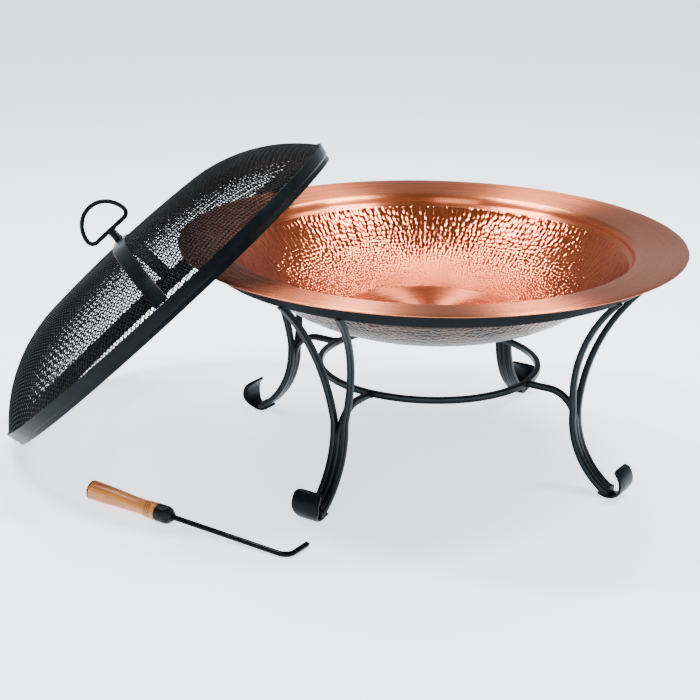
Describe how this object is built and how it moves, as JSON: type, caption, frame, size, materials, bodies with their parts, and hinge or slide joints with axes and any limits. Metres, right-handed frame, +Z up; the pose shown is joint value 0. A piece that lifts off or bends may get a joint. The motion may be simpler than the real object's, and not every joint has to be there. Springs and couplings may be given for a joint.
{
  "type": "fire pit",
  "caption": "Round fire pit: a hammered metal bowl in an iron stand with curled feet, a domed mesh spark screen leaning on its brim, and a hooked poker.",
  "frame": {"origin": "on the ground under the middle of the whole set", "axes": "+X from the screen's low edge towards the bowl, +Y away from the poker, +Z up"},
  "size_m": [1.0372, 0.7984, 0.4701],
  "materials": {
    "copper": "satin copper, brushed on the brim and hammered in the bowl",
    "black_iron": "satin black enamel",
    "woven_mesh": "black woven wire cloth",
    "handle_wood": "clear varnish over pale wood",
    "end_cap": "dark cap"
  },
  "bodies": {
    "stand": {"seat_ring": "black_iron", "lower_ring": "black_iron", "leg_front_right_left_bar": "black_iron", "leg_front_right_right_bar": "black_iron", "leg_front_right_middle_bar": "black_iron", "leg_front_right_foot_leaf": "black_iron", "leg_back_right_left_bar": "black_iron", "leg_back_right_right_bar": "black_iron", "leg_back_right_middle_bar": "black_iron", "leg_back_right_foot_leaf": "black_iron", "leg_back_left_left_bar": "black_iron", "leg_back_left_right_bar": "black_iron", "leg_back_left_middle_bar": "black_iron", "leg_back_left_foot_leaf": "black_iron", "leg_front_left_left_bar": "black_iron", "leg_front_left_right_bar": "black_iron", "leg_front_left_middle_bar": "black_iron", "leg_front_left_foot_leaf": "black_iron"},
    "bowl": {"bowl": "copper"},
    "screen": {"screen_hoop": "black_iron", "screen_mesh": "woven_mesh", "mesh_clamp_ring": "black_iron", "screen_strap": "black_iron", "handle_stem": "black_iron", "handle_loop": "black_iron", "stem_washer": "black_iron", "stem_nut": "black_iron"},
    "poker": {"poker_rod": "black_iron", "poker_ferrule": "black_iron", "poker_handle": "handle_wood", "poker_end_cap": "end_cap"}
  },
  "joints": [
    {"name": "bowl_lift", "type": "slide", "parent": "stand", "child": "bowl", "axis": [0, 0, 1], "range_m": [0, 0.25]},
    {"name": "screen_lift", "type": "slide", "parent": "bowl", "child": "screen", "axis": [0, 0, 1], "range_m": [0, 0.25]},
    {"name": "poker_lift", "type": "slide", "parent": "stand", "child": "poker", "axis": [0, 0, 1], "range_m": [0, 0.15]}
  ]
}
